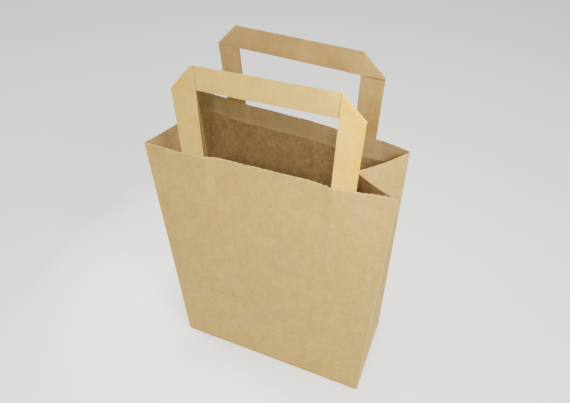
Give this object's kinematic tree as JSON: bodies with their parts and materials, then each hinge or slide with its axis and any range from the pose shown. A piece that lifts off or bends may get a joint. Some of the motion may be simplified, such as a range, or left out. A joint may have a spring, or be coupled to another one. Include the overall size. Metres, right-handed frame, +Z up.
{
  "type": "paper lunch bag with handles",
  "caption": "Small brown kraft paper bag standing open, with a folded block bottom, tucked side gussets and flat folded paper handles glued inside its mouth.",
  "frame": {"origin": "centre of the base, on the underside of the outer bottom flap", "axes": "+Z up to the mouth; +X across the width, to the right when the front panel is seen; the front panel faces -Y"},
  "size_m": [0.186, 0.0864, 0.3005],
  "materials": {
    "bag_paper": "matte brown kraft, faintly ribbed and mottled",
    "handle_tape": "matte pale kraft, folded in several plies",
    "patch_paper": "matte brown kraft"
  },
  "bodies": {
    "root": {"bag_body": "bag_paper", "front_handle": "handle_tape", "front_handle_patch": "patch_paper", "back_handle": "handle_tape", "back_handle_patch": "patch_paper"}
  },
  "joints": []
}
